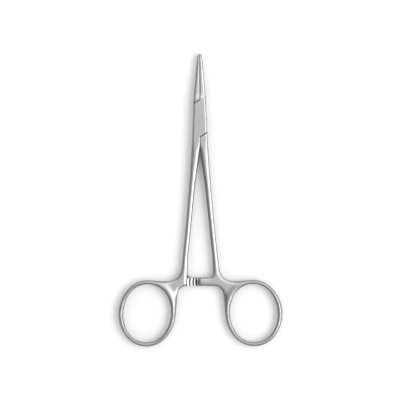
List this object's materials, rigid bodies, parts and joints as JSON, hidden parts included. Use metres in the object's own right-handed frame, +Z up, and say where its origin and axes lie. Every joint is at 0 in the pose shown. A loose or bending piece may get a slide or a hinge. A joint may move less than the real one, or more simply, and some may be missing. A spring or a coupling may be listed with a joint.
{
  "type": "hemostat forceps",
  "caption": "Straight mosquito hemostat: two crossed halves on a box lock, with toothed jaws, slim bowed shanks, a ratchet and oval finger rings.",
  "frame": {"origin": "on the axis of the lock pin, in the plane of the box lock's underside, which the instrument rests on", "axes": "+Y from the lock to the jaw tips, +Z up through the box lock, +X to the right; the male half's ring and shank lie at +X"},
  "size_m": [0.07, 0.125, 0.0042],
  "materials": {
    "female_half": "satin",
    "male_half": "satin",
    "lock_pin": "satin"
  },
  "bodies": {
    "female": {"female_half": "female_half", "lock_pin": "lock_pin"},
    "male": {"male_half": "male_half"}
  },
  "joints": [
    {"name": "box_lock", "type": "hinge", "parent": "female", "child": "male", "pos_m": [0, 0, 0.0021], "axis": [0, 0, 1], "range_deg": [0, 45]}
  ]
}
